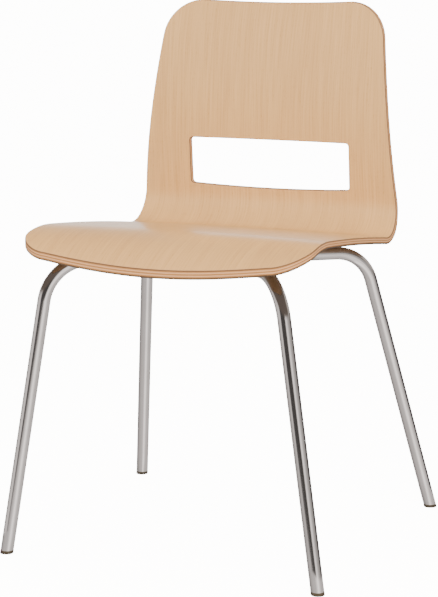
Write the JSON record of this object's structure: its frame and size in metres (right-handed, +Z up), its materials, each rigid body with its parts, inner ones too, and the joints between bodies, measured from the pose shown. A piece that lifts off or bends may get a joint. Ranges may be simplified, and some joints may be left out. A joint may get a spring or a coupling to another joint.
{
  "type": "stacking chair",
  "caption": "Stacking chair: a one-piece bent-plywood seat and back with a hand slot, on splayed bent-tube legs with level floor glides.",
  "frame": {"origin": "on the floor, under the middle of the chair's bounding box", "axes": "+Z up, -Y towards the front of the seat, +X towards the sitter's left"},
  "size_m": [0.5176, 0.5011, 0.7799],
  "materials": {
    "plywood": "satin clear lacquer over pale veneer",
    "block_wood": "raw laminated wood",
    "chrome_tube": "satin chrome",
    "zinc_steel": "bright zinc plate",
    "weld_steel": "brushed weld",
    "rubber": "matte black rubber",
    "glide_plastic": "matte dark brown plastic"
  },
  "bodies": {
    "root": {"shell": "plywood", "spacer_block": "block_wood", "insert_nuts": "zinc_steel", "mounting_plate": "zinc_steel", "mounting_screws": "zinc_steel", "spring_washers": "zinc_steel", "front_tube": "chrome_tube", "rear_tube": "chrome_tube", "plate_welds": "weld_steel", "buffer_front_left": "rubber", "buffer_front_right": "rubber", "buffer_rear_left": "rubber", "buffer_rear_right": "rubber", "glide_front_left": "glide_plastic", "glide_front_right": "glide_plastic", "glide_rear_left": "glide_plastic", "glide_rear_right": "glide_plastic"}
  },
  "joints": []
}
